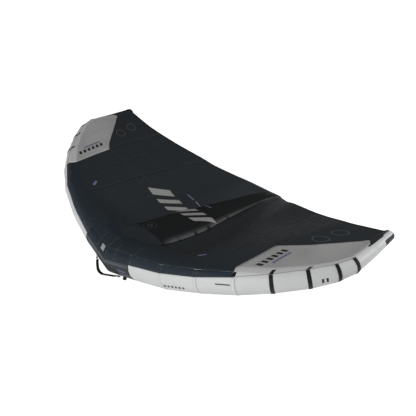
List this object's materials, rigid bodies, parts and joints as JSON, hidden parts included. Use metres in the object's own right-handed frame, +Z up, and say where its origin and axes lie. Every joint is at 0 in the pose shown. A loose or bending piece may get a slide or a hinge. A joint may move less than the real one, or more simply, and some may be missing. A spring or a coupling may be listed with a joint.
{
  "type": "inflatable wing",
  "caption": "Hand-held inflatable wing with a swept segmented tube, a centre strut, a thin dark canopy, handles, a pump valve and a nose handle.",
  "frame": {"origin": "on the ground under the middle of the wing's box, with the wing lying as in use, canopy up", "axes": "+X towards the right-hand tip, +Y aft from the nose to the trailing edge, +Z up through the canopy"},
  "size_m": [3.4284, 2.1272, 0.8308],
  "materials": {
    "white_dacron": "matt coated sailcloth, white",
    "navy_dacron": "matt coated sailcloth, dark navy",
    "canopy_cloth": "thin ripstop canopy cloth, charcoal",
    "grey_cloth": "thin canopy cloth, light grey",
    "black_cloth": "matt reinforced cloth, black",
    "webbing": "woven webbing, black",
    "bladder_film": "thin clear polyurethane film",
    "black_plastic": "moulded plastic, black",
    "grey_plastic": "moulded plastic, grey",
    "foam": "soft foam grip, black",
    "carbon_tube": "moulded composite, satin black",
    "rubber_hose": "flexible hose, black"
  },
  "bodies": {
    "wing": {"bladder_zip_tape": "black_cloth", "canopy_inner_front_left": "canopy_cloth", "canopy_inner_front_right": "canopy_cloth", "canopy_inner_rear_left": "canopy_cloth", "canopy_inner_rear_right": "canopy_cloth", "canopy_middle_left": "canopy_cloth", "canopy_middle_right": "canopy_cloth", "canopy_nose_panel": "canopy_cloth", "canopy_outer_left": "canopy_cloth", "canopy_outer_right": "canopy_cloth", "canopy_tip_corner_left": "black_cloth", "canopy_tip_corner_right": "black_cloth", "canopy_tip_panel_left": "canopy_cloth", "canopy_tip_panel_right": "canopy_cloth", "canopy_tip_patch_left": "grey_cloth", "canopy_tip_patch_right": "grey_cloth", "front_handle_frame": "carbon_tube", "front_handle_grip": "foam", "front_handle_patch": "black_cloth", "front_harness_loop": "webbing", "hose_clamp_body": "grey_plastic", "hose_port_strut": "black_plastic", "hose_port_tube": "black_plastic", "inner_batten_left": "grey_plastic", "inner_batten_right": "grey_plastic", "label_tag": "grey_cloth", "le_bands_left": "black_cloth", "le_bands_right": "black_cloth", "le_bladder": "bladder_film", "le_centre_sleeve": "navy_dacron", "le_front_sleeve_left": "white_dacron", "le_front_sleeve_right": "white_dacron", "le_outer_sleeve_left": "white_dacron", "le_outer_sleeve_right": "white_dacron", "le_tip_cap_left": "navy_dacron", "le_tip_cap_right": "navy_dacron", "le_top_strip_left": "navy_dacron", "le_top_strip_right": "navy_dacron", "leash_loop": "webbing", "nose_handle_patch": "black_cloth", "one_pump_hose": "rubber_hose", "outer_batten_left": "grey_plastic", "outer_batten_right": "grey_plastic", "rear_handle_frame": "carbon_tube", "rear_handle_grip": "foam", "rear_handle_patch": "black_cloth", "rear_harness_loop": "webbing", "strut_bladder": "bladder_film", "strut_end_cap": "black_cloth", "strut_sleeve": "black_cloth", "strut_top_panel": "black_cloth", "trailing_edge_hem_left": "black_cloth", "trailing_edge_hem_right": "black_cloth", "valve_body": "black_plastic"},
    "nose_handle": {"nose_handle_webbing": "webbing"},
    "valve_cap": {"valve_cap": "black_plastic"},
    "valve_core": {"valve_core": "grey_plastic"},
    "clamp_lever": {"hose_clamp_lever": "black_plastic"},
    "zip_slider": {"bladder_zip_slider": "grey_plastic"}
  },
  "joints": [
    {"name": "nose_handle_swing", "type": "hinge", "parent": "wing", "child": "nose_handle", "pos_m": [-0.12031, -1.04936, 0.14846], "axis": [0.975, 0.1321, -0.1786], "range_deg": [-120, 8]},
    {"name": "valve_cap_hinge", "type": "hinge", "parent": "wing", "child": "valve_cap", "pos_m": [-0.27165, -0.76532, 0.18388], "axis": [0.2147, 0.5605, 0.7998], "range_deg": [0, 125]},
    {"name": "valve_core_turn", "type": "hinge", "parent": "wing", "child": "valve_core", "pos_m": [-0.24847, -0.769, 0.18024], "axis": [-0.189, 0.8273, -0.529], "range_deg": [0, 90]},
    {"name": "clamp_lever_hinge", "type": "hinge", "parent": "wing", "child": "clamp_lever", "pos_m": [0.20674, -0.57599, 0.20515], "axis": [-0.9994, 0.0339, 0], "range_deg": [0, 75]},
    {"name": "zip_slide", "type": "slide", "parent": "wing", "child": "zip_slider", "axis": [0.9543, -0.0142, 0.2986], "range_m": [0, 0.2136]}
  ]
}
